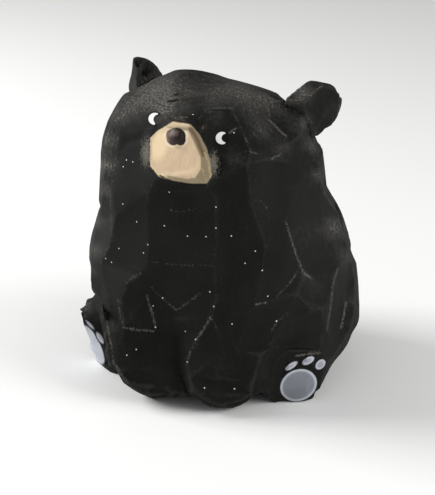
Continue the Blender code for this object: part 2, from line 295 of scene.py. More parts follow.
# Where the mesh is made finest: nose and right eye, left eye, left sole, right sole.
RIGHT_SOLE = ((95, 342), (26, 11), 63)
MARKED = [((174, 142), (36, 38), 0), ((221, 138), (11, 11), 0), ((303, 378), (25, 28), 20), RIGHT_SOLE]
# The mesh isn't thinned out this near to a painted or worn line or a speck, in pixels.
MARK_ROOM = 4

# What is painted on the black, and where the wood is left bare, as ellipses and lines.
NOSE = [((176.0, 135.8), (9.7, 8.0), 0), ((173.0, 139.8), (6.2, 5.5), 15), ((180.2, 139.6), (5.5, 5.8), -10)]
# Painted sheen on the nose's top, and painted light on its redder left side, where it faces the light.
NOSE_PAINTED_SHEEN = [((174.5, 133.5), (6.0, 4.0), -20)]
NOSE_RED_LIT_SIDE = [((168.3, 135.5), (2.6, 6.0), 0)]
EYEBALLS = [((154.9, 118.8), (6.5, 6.1), 0), ((222.0, 138.1), (6.3, 6.3), 0)]
PUPILS = [((158.4, 119.4), (4.9, 4.9), 0), ((226.2, 138.0), (4.6, 4.3), 0)]
FADED_PUPIL = [((158.0, 119.6), (3.8, 4.6), 10)]
# The white ends at a line on the pupil's side: a point on it, the way it faces, and how far the
# eye's black goes on behind it.
WHITE_ENDS = [((156.6, 118.5), (-0.95, -0.3), 1.0), ((225.4, 138), (-1.0, 0.0), 4.0)]
LEFT_PAD = ((298.6, 385.2), (18.8, 15.4), -25)
RIGHT_PAD = ((93.5, 345), (21.0, 6.2), 64)
# The right pad goes on where the camera doesn't see the sole, within this radius in mm, as far as
# the sole faces nearly the same way.
SOLE_RADIUS = 9.0
SOLE_TURN = 0.6
TOES = [
    ((291.4, 365.9), (6.9, 2.6), -34), ((308.2, 360.7), (6.5, 3.3), -30), ((320.5, 364.4), (5.9, 4.0), -47),
    ((90.1, 324.9), (5.7, 1.3), 47), ((100.0, 337.8), (6.3, 2.2), 59),
]
# Pale and dark lines on the muzzle's rim, and their half widths in pixels.
MUZZLE_RIDGE = [(204.5, 153), (208.5, 163), (210.5, 178)]
MUZZLE_GRAIN = [(202.5, 169), (206, 181)]
MUZZLE_SHADE = [(190, 128), (197, 139), (203.5, 155)]
RIDGE_HALF = 1.4
SHADE_HALF = 3.0
# Painted light: the muzzle's rim is as pale as its front left of one line and above another, where it faces
# the light.
PAINTED_LIT_SIDE = np.array((168.0, 128.0))
# Painted light on the left of the muzzle's front, where it faces the light.
MUZZLE_PAINTED_LIGHT = [((159, 146), (13, 22), 15)]

# Splits in the wood that stay black, and painted shade in deep corners under the brow and the muzzle, with
# their half widths.
SPLITS_AND_SHADE_LINES = [
    (1.1, [(167.5, 101.3), (172.5, 101.2), (177.5, 99.6)]), (0.9, [(174.5, 95.2), (178.5, 93.6)]),
    # Painted shade under the brow.
    (0.6, [(197, 122), (203, 115), (208, 111), (213, 109.5), (222, 110), (229, 111.5)]),
    # Painted shade under the muzzle.
    (0.8, [(160, 175.5), (172, 181.5), (188, 184.8), (206, 184.8)]),
]

# Where the black is rubbed off along a cut's edge: how far, then the line.
WORN = [
    (1.0, [(269, 120), (277, 128), (286, 136)]), (0.6, [(269, 104), (269, 120)]),
    (0.8, [(271, 159), (280, 154)]), (0.7, [(245, 137), (251, 152), (258, 154)]),
    (1.0, [(229.5, 133), (236, 128)]), (0.7, [(127, 282), (133, 277), (140, 273.5)]),
    (0.9, [(147, 296), (152, 312), (156, 328)]), (1.0, [(124, 328), (138, 330), (153, 331)]),
    (0.6, [(118, 300), (121, 318), (124, 328)]), (0.55, [(150, 285), (161, 297)]),
    (0.7, [(161, 298), (170, 305), (177, 310), (190, 301), (200, 294)]),
    (1.0, [(212, 315), (204, 329), (196, 340)]), (0.5, [(211, 317), (218, 331)]),
    (0.6, [(196, 340), (190, 352), (187, 364)]), (0.9, [(255, 305), (267, 302)]),
    (0.6, [(277, 296), (288, 285), (298, 272)]), (0.8, [(286, 222), (293, 245), (299, 262), (305, 276)]),
    (1.0, [(303, 272), (311, 278)]), (0.6, [(288, 313), (276, 322), (272, 330)]),
    (0.5, [(305, 301), (314, 311)]), (0.9, [(346, 302), (344, 315), (341, 328)]),
    (0.7, [(338, 268), (333, 285), (331, 304), (327, 330)]), (0.9, [(320, 353), (308, 354), (296, 356)]),
    (0.7, [(105.7, 312), (108, 331), (111.5, 345), (113.5, 363), (120, 371.5), (128, 383)]),
    (0.8, [(300, 100), (306, 97), (322, 86)]), (0.7, [(340, 98), (338, 116)]),
    (0.7, [(199, 119), (207, 111.5), (214, 108.5), (232, 108)]),
    (0.5, [(152, 262), (180, 265), (213, 265)]), (0.45, [(165, 209), (180, 212), (197, 208)]),
    (0.45, [(255, 200), (262, 202), (268, 210)]), (0.5, [(119, 135), (114, 165), (110, 190)]),
    (0.5, [(110, 190), (112, 240), (101, 263)]), (0.5, [(318, 165), (322, 190), (334, 208)]),
    (0.6, [(232, 108), (240, 101), (248, 97.5), (258, 96), (266, 100.5), (269, 104)]),
    (0.5, [(245, 137), (239, 124), (234, 113)]),
]
# How many pixels from such a line the rubbing fades.
WORN_HALF = 1.1

# Where the black is thin and grey with rubbing, and paler as painted light on the lit head top and left
# side: the most of it, then middle, radius and how much.
MOST_RUBBED_AND_LIT = 1.3
RUBBED_AND_LIT = [
    ((133, 104), 15, 0.8), ((150, 90), 20, 0.9), ((175, 84), 18, 0.8), ((164, 106), 13, 1.2),
    ((118, 118), 11, 0.9), ((109, 140), 9, 1.1), ((107, 165), 12, 1.2), ((105, 190), 9, 0.9),
    ((203, 80), 16, 0.4), ((186, 110), 9, 0.5), ((225, 86), 16, 0.7), ((212, 102), 12, 0.5),
    ((244, 94), 16, 0.9), ((268, 99), 14, 0.9), ((285, 108), 12, 0.6), ((306, 122), 9, 0.7),
    ((313, 145), 10, 0.8), ((262, 130), 14, 0.8), ((196, 96), 12, 0.2), ((283, 147), 12, 0.6),
    ((294, 128), 10, 0.45), ((249, 114), 11, 0.3), ((318, 175), 10, 0.8), ((303, 92), 11, 1.2),
    ((97, 220), 8, 0.8), ((95, 250), 9, 0.8), ((92, 272), 7, 0.6), ((334, 228), 14, 1.0),
    ((344, 255), 10, 0.6), ((300, 235), 16, 0.35), ((316, 285), 12, 0.4), ((88, 306), 9, 1.0),
    ((351, 300), 9, 0.6), ((303, 276), 8, 0.35), ((130, 320), 12, 0.35), ((222, 365), 16, 0.25),
    ((112, 325), 8, 0.5), ((235, 158), 12, 0.6), ((216, 120), 10, 0.5), ((146, 73), 9, 0.35),
    ((332, 105), 10, 0.25),
]
# The black thins out in speckles beside the muzzle.
FRINGE = [
    ((146, 153), (8.5, 25), 3), ((214, 163), (9, 20), 0), ((203, 128), (4, 9), 35), ((178, 118), (18, 5), 5),
]

# White specks of paint, their radius in mm, and how many are on the sides that the camera doesn't see.
SPECKS = [
    (115.5, 112.5), (193, 114.5), (126, 159), (133, 161.5), (123.5, 167), (169, 193), (235, 133),
    (122.5, 204.5), (136.5, 221.5), (163.5, 226), (216.5, 206.5), (217, 228), (187, 236.5), (206, 236.5),
    (119, 249), (143.5, 253), (148, 244), (105.5, 258.5), (111, 263), (231, 235), (254.5, 251.5),
    (244.5, 262.5), (263, 271), (210, 291), (162, 297.5), (153.5, 305), (214, 307), (155, 328), (185, 332),
    (196, 340), (187, 362), (231.5, 324.5), (268, 297), (276.5, 322), (235, 389), (127, 356), (136, 349),
    (205, 388),
]
SPECK_RADIUS = 0.36
SPECKS_UNSEEN = 90
# What is noted where there is no mark: as many pixels outside one.
NO_MARK = -9.0

# The rest of the bear is cut all over, with facets of about this half width in mm. The head starts
# at one height, and arms and feet end at another, in front of a line across. Of so many places
# drawn by chance, those are cut that lie far enough apart, as a share of both half widths, and
# that aren't held by what is kept beside them.
BODY_FACET = 6.5
HEAD_FACET = 5.2
LIMB_FACET = 4.2
HEAD_FROM = 62
LIMBS_TO = 30
LIMBS_FRONT = -10
FACET_TRIES = 9000
FACETS_APART = 0.8
MOST_HELD = 0.6


def camera_frame():
    """The camera's right, up and forward directions."""
    forward = (CAMERA_AIM - CAMERA_PLACE) / np.linalg.norm(CAMERA_AIM - CAMERA_PLACE)
    right = np.cross(forward, (0, 0, 1))
    right /= np.linalg.norm(right)
    return right, np.cross(right, forward), forward


RIGHT, UP, FORWARD = camera_frame()


def sight(x, y):
    """Line from the camera through a pixel of the picture, one unit deep."""
    across = (x - PICTURE_WIDTH / 2) / FOCAL_PIXELS
    down = (y - PICTURE_HEIGHT / 2) / FOCAL_PIXELS
    return FORWARD + RIGHT * across - UP * down


def seen(points):
    """Pixels and depths at which the camera sees some points."""
    away = points - CAMERA_PLACE
    depths = away @ FORWARD
    across = PICTURE_WIDTH / 2 + FOCAL_PIXELS * (away @ RIGHT) / depths
    down = PICTURE_HEIGHT / 2 - FOCAL_PIXELS * (away @ UP) / depths
    return np.stack([across, down], axis=1), depths


def read(items, name, width, kind=float):
    """What a mesh's points or edges hold, as an array with so many columns."""
    values = np.empty(len(items) * width, dtype=kind)
    items.foreach_get(name, values)
    return values.reshape(-1, width)


class Wood:
    """The carving's surface as arrays in mm, with the edges that join its points."""

    def __init__(self, mesh):
        self.mesh = mesh
        self.points = read(mesh.vertices, "co", 3) / MM
        self.edges = read(mesh.edges, "vertices", 2, np.int64)
        self.joined = np.bincount(self.edges.ravel(), minlength=len(self.points))[:, None]
        self.facing = self.normals()

    def normals(self):
        """Outward direction at each point."""
        self.mesh.vertices.foreach_set("co", (self.points * MM).ravel())
        self.mesh.update()
        return read(self.mesh.vertex_normals, "vector", 3)

    def spread(self, values):
        """Each point's mean of a value over its neighbours."""
        first, second = self.edges.T
        total = np.zeros_like(values)
        for column in range(values.shape[1]):
            total[:, column] = np.bincount(first, values[second, column], len(values))
            total[:, column] += np.bincount(second, values[first, column], len(values))
        return total / self.joined

    def soften(self, rounds, share):
        """Rubs the surface down, by a share that may differ from point to point."""
        for _ in range(rounds):
            self.points += (self.spread(self.points) - self.points) * share
        self.facing = self.normals()

    def tree(self):
        """What lines of sight are tested against, in metres."""
        self.normals()
        solid = bmesh.new()
        solid.from_mesh(self.mesh)
        tree = BVHTree.FromBMesh(solid)
        solid.free()
        return tree

    def in_view(self, tree, slack=0.6):
        """Which points the camera sees."""
        in_view = (self.facing @ FORWARD) < TURNED_AWAY
        eye = Vector(CAMERA_PLACE * MM)
        for index in np.flatnonzero(in_view):
            away = Vector(self.points[index] * MM) - eye
            place, _, _, distance = tree.ray_cast(eye, away)
            in_view[index] = place is None or distance > away.length - slack * MM
        return in_view

    def meet_outline(self, outline, reach, rounds, closed):
        """Fills or trims the block near its silhouette, so that it ends where the outline has it."""
        outline = np.array(outline, dtype=float)
        for _ in range(rounds):
            band = np.flatnonzero(np.abs(self.facing @ FORWARD) < 0.85)
            points = self.points[band]
            pixels, _ = seen(points)
            moved = np.zeros_like(points)
            weight = np.zeros(len(points))
            for index, peg in enumerate(outline):
                if closed:
                    before, after = outline[index - 1], outline[(index + 1) % len(outline)]
                else:
                    before, after = outline[max(index - 1, 0)], outline[min(index + 1, len(outline) - 1)]
                along = (after - before) / np.linalg.norm(after - before)
                outward = np.array((along[1], -along[0]))
                offset = pixels - peg
                beside = np.abs(offset @ along) < PEG_SIDE
                close = np.flatnonzero(beside & (np.abs(offset @ outward) < PEG_ACROSS))
                if not len(close):
                    continue
                edge = close[np.argmax(offset[close] @ outward)]
                gap = OUTLINE_ROOM - offset[edge] @ outward
                push = RIGHT * outward[0] - UP * outward[1]
                if outward[1] > 0.45 and points[edge, 2] < FLOOR_NEAR:
                    push = RIGHT * outward[0] - FORWARD
                    push[2] = 0
                    push /= np.linalg.norm(push)
                ahead, _ = seen(points[edge][None] + push)
                push = push * gap / ((ahead[0] - pixels[edge]) @ outward)
                nearby = np.flatnonzero((np.abs(points - points[edge]) < 3 * reach).all(1))
                distance = np.linalg.norm(points[nearby] - points[edge], axis=1)
                pull = np.exp(-0.5 * (distance / reach) ** 2)
                moved[nearby] += pull[:, None] * push
                weight[nearby] += pull
            self.points[band] += 0.8 * moved / np.maximum(weight, 1)[:, None]
        self.facing = self.normals()

    def slice_flat(self, middle, half_width, free, reach=1.9):
        """One knife cut: what stands above the plane through a ring round the middle is taken off."""
        away = self.points - middle
        distance = np.linalg.norm(away, axis=1)
        close = np.flatnonzero(distance < reach * half_width)
        normals = self.facing[close]
        core = distance[close] < half_width
        if core.sum() < 6:
            return
        aim = normals[core].mean(0)
        aim /= np.linalg.norm(aim)
        height = away[close] @ aim
        ring = core & (distance[close] > 0.75 * half_width) & (normals @ aim > 0.3)
        if ring.sum() < 6:
            return
        above = (height > height[ring].mean()) & (normals @ aim > 0.25)
        drop = (height[above] - height[ring].mean()) * free[close[above]]
        self.points[close[above]] -= np.outer(drop, aim)


def merged_copy(node):
    """A copy of a CAD node's mesh with its points merged, the node itself left as it is."""
    block = bmesh.new()
    block.from_mesh(node.data)
    bmesh.ops.remove_doubles(block, verts=block.verts, dist=1e-6)
    mesh = bpy.data.meshes.new("block")
    block.to_mesh(mesh)
    block.free()
    return mesh


def put(name, data):
    """A new object in the scene."""
    made = bpy.data.objects.new(name, data)
    bpy.context.collection.objects.link(made)
    return made


def modified(holder):
    """The mesh that an object's modifiers make. The object itself is removed."""
    shaped = holder.evaluated_get(bpy.context.evaluated_depsgraph_get())
    mesh = bpy.data.meshes.new_from_object(shaped)
    bpy.data.objects.remove(holder)
    return mesh


def even_mesh(mesh):
    """A fine even mesh over another mesh."""
    holder = put("block", mesh)
    remesh = holder.modifiers.new("even", "REMESH")
    remesh.mode = "VOXEL"
    remesh.voxel_size = GRAIN * MM
    return modified(holder)


def without_crumbs(mesh):
    """The mesh's largest joined part, without the loose crumbs beside it."""
    solid = bmesh.new()
    solid.from_mesh(mesh)
    left = set(solid.verts)
    parts = []
    while left:
        part = [left.pop()]
        for vert in part:
            beside = {edge.other_vert(vert) for edge in vert.link_edges} & left
            left -= beside
            part.extend(beside)
        parts.append(part)
    parts.sort(key=len)
    for part in parts[:-1]:
        bmesh.ops.delete(solid, geom=part, context="VERTS")
    solid.to_mesh(mesh)
    solid.free()
    return mesh


def fill_gaps(wood, corners, corner_depths):
    """Balls of wood just behind some of the net's corners, where the block has a gap."""
    wood.normals()
    solid = bmesh.new()
    solid.from_mesh(wood.mesh)
    names = list(NET_CORNERS)
    for name, across in FILLED_GAPS:
        x, y = corners[names.index(name)]
        middle = CAMERA_PLACE + sight(x + across, y) * (corner_depths[names.index(name)] + FILLING)
        middle[2] = max(middle[2], FILLING)
        place = Matrix.Translation(Vector(middle * MM))
        bmesh.ops.create_icosphere(solid, subdivisions=3, radius=FILLING * MM, matrix=place)
    solid.to_mesh(wood.mesh)
    solid.free()
    return wood.mesh


def around(points, middle, radius, fade):
    """1 within a radius of a place, falling to 0 over the fade."""
    distance = np.linalg.norm(points - np.array(middle), axis=1)
    return np.clip((radius + fade - distance) / fade, 0, 1)


def held_places(points):
    """How much each point belongs to the ears, to the feet and to the base."""
    ears = np.max([around(points, *ear) for ear in EARS], axis=0)
    feet = np.max([around(points, *foot) for foot in FEET], axis=0)
    base = np.clip(1 - points[:, 2] / BASE_HEIGHT, 0, 1)
    return ears, feet, base


def meet_outlines(wood, reaches, rounds):
    """Brings the wood to its whole outline and to those of the ears, each with its reach in mm."""
    for outline, reach in zip((OUTLINE, RIGHT_EAR_OUTLINE, LEFT_EAR_OUTLINE), reaches):
        wood.meet_outline(outline, reach, rounds, closed=outline is OUTLINE)


def depth_on(tree, x, y):
    """How deep the wood lies behind a pixel."""
    place, _, _, _ = tree.ray_cast(CAMERA_PLACE * MM, sight(x, y))
    if place is None:
        reach = np.linalg.norm(CAMERA_PLACE - CAMERA_AIM)
        place, _, _, _ = tree.find_nearest((CAMERA_PLACE + sight(x, y) * reach) * MM)
    return (np.array(place) / MM - CAMERA_PLACE) @ FORWARD


def flatten_net(tree):
    """Depths of the net's corners at which every facet is as good as flat.

    One over depth changes evenly over a flat facet in the picture, so flatness is a linear
    equation. Each corner also holds on to the depth that the block has there.
    """
    names = list(NET_CORNERS)
    pixels = np.array([NET_CORNERS[name] for name in names])
    depths = np.array([depth_on(tree, *NET_CORNERS[name]) for name in names])
    hold = np.full(len(names), BLOCK_HOLD)
    for row, name in enumerate(names):
        if name in NET_LEVEL_WITH:
            depths[row] = depths[names.index(NET_LEVEL_WITH[name])]
        depths[row] += NET_DEEPER.get(name, 0)
        if name in NET_LOOSE:
            hold[row] = LOOSE_HOLD
        elif name[0] == "r" and name[1:].isdigit():
            hold[row] = RIM_HOLD
        elif name[0] == "q":
            hold[row] = MUZZLE_HOLD
        elif name in NET_DEEPER:
            hold[row] = DEEPER_HOLD
    middle = depths.mean()
    nearness = middle ** 2 / depths
    facets = [[names.index(name) for name in facet.split()] for facet in NET_FACETS]
    unknowns = len(names) + 3 * len(facets)
    rows, values = [], []
    for corner in range(len(names)):
        row = np.zeros(unknowns)
        row[corner] = hold[corner]
        rows.append(row)
        values.append(hold[corner] * nearness[corner])
    for number, facet in enumerate(facets):
        centre = pixels[facet].mean(0)
        for corner in facet:
            row = np.zeros(unknowns)
            row[corner] = FLATNESS
            plane = len(names) + 3 * number
            row[plane:plane + 2] = -FLATNESS * (pixels[corner] - centre) / FACET_PIXELS
            row[plane + 2] = -FLATNESS
            rows.append(row)
            values.append(0.0)
    solved = np.linalg.lstsq(np.array(rows), np.array(values), rcond=None)[0]
    return pixels, middle ** 2 / solved[:len(names)], facets


def carve_net(wood, corners, corner_depths, facets, rough):
    """Moves what the camera sees of the wood, along its lines of sight, on to the net's facets.

    The rough cut also moves what is out of reach of its facet; the second leaves it, as it
    belongs to what stands in front.
    """
    pixels, depths = seen(wood.points)
    visible = wood.in_view(wood.tree())
    carved = np.zeros(len(wood.points))
    target = depths.copy()
    for facet in facets:
        outline = [Vector((*corners[corner], 0)) for corner in facet]
        for triangle in tessellate_polygon([outline]):
            a, b, c = (corners[facet[corner]] for corner in triangle)
            nearness = np.array([1 / corner_depths[facet[corner]] for corner in triangle])
            area = (b[0] - a[0]) * (c[1] - a[1]) - (b[1] - a[1]) * (c[0] - a[0])
            if abs(area) < 1e-9:
                continue
            low, high = np.minimum(np.minimum(a, b), c) - 0.01, np.maximum(np.maximum(a, b), c) + 0.01
            close = np.flatnonzero(visible & ((pixels > low) & (pixels < high)).all(1))
            x, y = (pixels[close] - a).T
            second = (x * (c[1] - a[1]) - y * (c[0] - a[0])) / area
            third = (y * (b[0] - a[0]) - x * (b[1] - a[1])) / area
            inside = (second >= -1e-6) & (third >= -1e-6) & (second + third <= 1 + 1e-6)
            weights = np.stack([1 - second - third, second, third], axis=1)[inside]
            target[close[inside]] = 1 / (weights @ nearness)
            carved[close[inside]] = 1
    move = np.clip(target - depths, -CARVED_REACH, CARVED_REACH)
    if not rough:
        move[np.abs(target - depths) > CARVED_REACH] = 0
    away = wood.points - CAMERA_PLACE
    wood.points += away * (move / depths)[:, None]
    move = move[:, None]
    torn = np.clip(np.abs(move - wood.spread(move)) - TEAR, 0, 1)
    for _ in range(3):
        torn = np.maximum(torn, wood.spread(torn))
    wood.soften(12, 0.5 * torn)
    return carved


def refine(mesh, chosen):
    """The same surface with the faces between some of its points split in four, for crisp marks."""
    fine = bmesh.new()
    fine.from_mesh(mesh)
    edges = [edge for edge in fine.edges if chosen[edge.verts[0].index] and chosen[edge.verts[1].index]]
    bmesh.ops.subdivide_edges(fine, edges=edges, cuts=1, use_grid_fill=True)
    refined = bpy.data.meshes.new("carved_bear")
    fine.to_mesh(refined)
    fine.free()
    return refined


def inside_ellipse(pixels, middle, half, turn):
    """How many pixels a place is inside an ellipse, below 0 outside."""
    turn = math.radians(turn)
    x, y = (pixels - middle).T
    along = (x * math.cos(turn) + y * math.sin(turn)) / half[0]
    over = (y * math.cos(turn) - x * math.sin(turn)) / half[1]
    return (1 - np.hypot(along, over)) * min(half)


def inside_any(pixels, ellipses):
    """How many pixels a place is inside the nearest of some ellipses, below 0 outside."""
    return np.max([inside_ellipse(pixels, *ellipse) for ellipse in ellipses], axis=0)


def from_nearest(points, places):
    """How far each point is from the nearest of some places."""
    return np.min([np.linalg.norm(points - place, axis=1) for place in places], axis=0)


def from_line(pixels, line):
    """How many pixels a place is from a broken line."""
    line = np.array(line, dtype=float)
    nearest = np.full(len(pixels), 1e3)
    for start, end in zip(line[:-1], line[1:]):
        share = np.clip((pixels - start) @ (end - start) / ((end - start) @ (end - start)), 0, 1)
        nearest = np.minimum(nearest, np.linalg.norm(pixels - start - np.outer(share, end - start), axis=1))
    return nearest


def inside_outline(pixels, names):
    """How many pixels a place is inside some of the net's corners, below 0 outside."""
    outline = np.array([NET_CORNERS[name] for name in names.split()], dtype=float)
    inside = np.zeros(len(pixels), dtype=bool)
    for index, (x, y) in enumerate(outline):
        last_x, last_y = outline[index - 1]
        beside = (y > pixels[:, 1]) != (last_y > pixels[:, 1])
        if y != last_y:
            inside ^= beside & (pixels[:, 0] < (last_x - x) * (pixels[:, 1] - y) / (last_y - y) + x)
    return from_line(pixels, np.vstack([outline, outline[:1]])) * np.where(inside, 1, -1)


def marks(wood, unseen):
    """For each point, how far it is inside each painted or bare place, in pixels.

    The specks where the camera doesn't look are given as places on the wood.
    """
    visible = wood.in_view(wood.tree())
    pixels, _ = seen(wood.points)
    # The right sole's pad goes on where the sole turns out of the camera's sight.
    on_pad = visible & (inside_ellipse(pixels, *RIGHT_PAD) > 0)
    aim = wood.facing[on_pad].mean(0)
    on_sole = np.linalg.norm(wood.points - wood.points[on_pad].mean(0), axis=1) < SOLE_RADIUS
    visible |= on_sole & (wood.facing @ aim > SOLE_TURN * np.linalg.norm(aim))
    pixels = pixels[visible]
    white = np.full(len(pixels), NO_MARK)
    black = np.full(len(pixels), NO_MARK)
    for ball, pupil, (place, way, behind) in zip(EYEBALLS, PUPILS, WHITE_ENDS):
        whole_ball = inside_ellipse(pixels, *ball)
        ahead = (pixels - place) @ np.array(way)
        part = np.minimum(whole_ball, -inside_ellipse(pixels, *pupil))
        white = np.maximum(white, np.minimum(part, ahead))
        black = np.maximum(black, np.minimum(whole_ball, ahead + behind))
    fields = {"white": white, "eyeball": black}
    for name, places in (
        # The left pad's middle is darkened as painted shade.
        ("faded pupil", FADED_PUPIL), ("pad", [LEFT_PAD, RIGHT_PAD]), ("left pad shade", [LEFT_PAD]),
        ("toe", TOES), ("nose", NOSE), ("painted sheen", NOSE_PAINTED_SHEEN), ("red lit side", NOSE_RED_LIT_SIDE),
        ("painted light", MUZZLE_PAINTED_LIGHT), ("fringe", FRINGE),
    ):
        fields[name] = inside_any(pixels, places)
    fields["front"] = inside_outline(pixels, MUZZLE_FRONT)
    fields["bare"] = inside_outline(pixels, MUZZLE_FOOT)
    ridge = np.minimum(from_line(pixels, MUZZLE_RIDGE), from_line(pixels, MUZZLE_GRAIN))
    fields["ridge"] = RIDGE_HALF - ridge
    fields["shade"] = SHADE_HALF - from_line(pixels, MUZZLE_SHADE)
    fields["painted lit side"] = np.max(PAINTED_LIT_SIDE - pixels, axis=1)
    fields["split"] = np.max([width - from_line(pixels, line) for width, line in SPLITS_AND_SHADE_LINES], axis=0)
    worn = [share * np.exp(-0.5 * (from_line(pixels, line) / WORN_HALF) ** 2) for share, line in WORN]
    thin = np.zeros(len(pixels))
    for place, radius, amount in RUBBED_AND_LIT:
        thin += amount * np.exp(-0.5 * (np.linalg.norm(pixels - place, axis=1) / (0.75 * radius)) ** 2)
    fields = {name: np.clip(values, NO_MARK, -NO_MARK) for name, values in fields.items()}
    fields["worn"] = np.max(worn, axis=0)
    fields["rubbed and lit"] = np.minimum(thin, MOST_RUBBED_AND_LIT)
    whole = {name: np.full(len(visible), NO_MARK) for name in fields}
    whole["worn"] = np.zeros(len(visible))
    # Out of the camera's sight, what faces up is painted grey, as rubbing and as painted light from above,
    # the more the higher it lies.
    upward = np.clip(wood.facing[:, 2] * 1.6 - 0.3, 0, 0.9)
    whole["rubbed and lit"] = upward * np.clip(wood.points[:, 2] / 60 - 0.4, 0, 1)
    for name, values in fields.items():
        whole[name][visible] = values
    shown = np.flatnonzero(visible)
    places = [wood.points[shown[np.argmin(np.linalg.norm(pixels - place, axis=1))]] for place in SPECKS]
    speck = 1 - from_nearest(wood.points, places + list(unseen)) / SPECK_RADIUS
    whole["speck"] = np.maximum(speck, -1.0)
    return whole


def thin_out(mesh, kept):
    """Fewer and larger faces where the wood is flat and has no marks, and no stray fins."""
    holder = put("thinned", mesh)
    kept_points = [int(index) for index in np.flatnonzero(kept)]
    holder.vertex_groups.new(name="kept").add(kept_points, 1.0, "REPLACE")
    mesh.calc_loop_triangles()
    thinner = holder.modifiers.new("thin", "DECIMATE")
    thinner.ratio = min(1.0, MOST_TRIANGLES / len(mesh.loop_triangles))
    thinner.vertex_group = "kept"
    thinner.invert_vertex_group = True
    thinner.vertex_group_factor = 10.0
    thinned = modified(holder)
    solid = bmesh.new()
    solid.from_mesh(thinned)
    for _ in range(2):
        fins = [face for face in solid.faces if any(edge.is_boundary for edge in face.edges)]
        bmesh.ops.delete(solid, geom=fins, context="FACES")
    solid.to_mesh(thinned)
    solid.free()
    return thinned


def note(mesh, name, values):
    """Keeps one value for each point with the mesh, for the materials."""
    attribute = mesh.attributes.new(name, "FLOAT", "POINT")
    attribute.data.foreach_set("value", values.astype(np.float32))


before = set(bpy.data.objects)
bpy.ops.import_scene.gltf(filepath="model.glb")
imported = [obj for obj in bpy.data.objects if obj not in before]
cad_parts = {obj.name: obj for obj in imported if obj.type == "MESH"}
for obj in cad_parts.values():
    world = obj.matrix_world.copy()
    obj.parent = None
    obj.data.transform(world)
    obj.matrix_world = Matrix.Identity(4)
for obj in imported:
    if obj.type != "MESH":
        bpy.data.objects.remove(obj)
cad_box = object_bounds()

# The block is rubbed round and brought to the photo's outline.
wood = Wood(even_mesh(merged_copy(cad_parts["bear"])))
ears, feet, base = held_places(wood.points)
muzzle = around(wood.points, *MUZZLE)
free = np.clip(1 - ears * EARS_KEPT - feet * FEET_KEPT - muzzle - base, 0, 1)[:, None]
wood.soften(30, 0.5 * free)
wood.soften(2, 0.3 * (1 - base - 0.9 * ears).clip(0)[:, None])
meet_outlines(wood, (5.0, 2.5, 2.5), 4)

# The facets that show are cut twice, as the gaps between them are filled after the rough cut.
net = flatten_net(wood.tree())
carve_net(wood, *net, rough=True)
wood = Wood(without_crumbs(even_mesh(fill_gaps(wood, *net[:2]))))
wood.soften(1, 0.4)
carved = carve_net(wood, *net, rough=False)
ears, feet, base = held_places(wood.points)
wood.soften(2, 0.25 * (1 - base[:, None]))
pixels, _ = seen(wood.points)
ragged = inside_any(pixels, RAGGED)
wood.soften(10, 0.5 * np.clip(ragged / RAGGED_FADE, 0, 1)[:, None])

# The rest is cut all over in places drawn by chance.
held = np.maximum(carved, np.maximum(ears, base))[:, None]
for _ in range(8):
    held = np.maximum(held, wood.spread(held) * 0.96)
held = held[:, 0]
facet = np.where(wood.points[:, 2] > HEAD_FROM, HEAD_FACET, BODY_FACET)
limbs = (wood.points[:, 2] < LIMBS_TO) & (wood.points[:, 1] < LIMBS_FRONT)
facet = np.where((feet > 0.3) | limbs, LIMB_FACET, facet)
placed = np.full((1, 3), 1e6)
widths = np.ones(1)
for index in CHANCE.choice(len(wood.points), FACET_TRIES, replace=False):
    if held[index] > MOST_HELD:
        continue
    gaps = np.linalg.norm(placed - wood.points[index], axis=1)
    if (gaps > FACETS_APART * (widths + facet[index])).all():
        placed = np.vstack([placed, wood.points[index]])
        widths = np.append(widths, facet[index])
for middle, half_width in zip(placed[1:], widths[1:]):
    wood.slice_flat(middle, half_width, 1 - held)

meet_outlines(wood, (3.5, 2.4, 3.0), 3)
wood.soften(2, 0.3 * (feet * (1 - base))[:, None])

# An edge stands above the mean of what is around it.
mean = wood.points.copy()
for _ in range(6):
    mean += (wood.spread(mean) - mean) * 0.7
note(wood.mesh, "edge", ((wood.points - mean) * wood.facing).sum(1))

for _ in range(2):
    pixels, _ = seen(wood.points)
    close = inside_any(pixels, MARKED) > 0
    wood = Wood(refine(wood.mesh, close & wood.in_view(wood.tree())))
_, _, base = held_places(wood.points)

# The nose stands up as a dome on the muzzle's front.
nose_depth = depth_on(wood.tree(), *NOSE_PLACE)
nose_middle = CAMERA_PLACE + sight(*NOSE_PLACE) * nose_depth
away = wood.points - nose_middle
nose_aim = wood.facing[np.linalg.norm(away, axis=1) < NOSE_REACH].mean(0)
nose_aim /= np.linalg.norm(nose_aim)
across = np.linalg.norm(away - np.outer(away @ nose_aim, nose_aim), axis=1) / NOSE_RADIUS
lump = NOSE_HEIGHT * np.sqrt(np.clip(1 - across ** 2, 0, 1)) * (np.abs(away @ nose_aim) < NOSE_REACH)
wood.points += np.outer(lump, nose_aim)

# Nothing stands out of the solid's box.
wood.soften(1, 0.25 * (1 - base[:, None]))
low, high = (np.array(corner) / MM for corner in cad_box)
wood.points = np.clip(wood.points, low, high)
wood.facing = wood.normals()

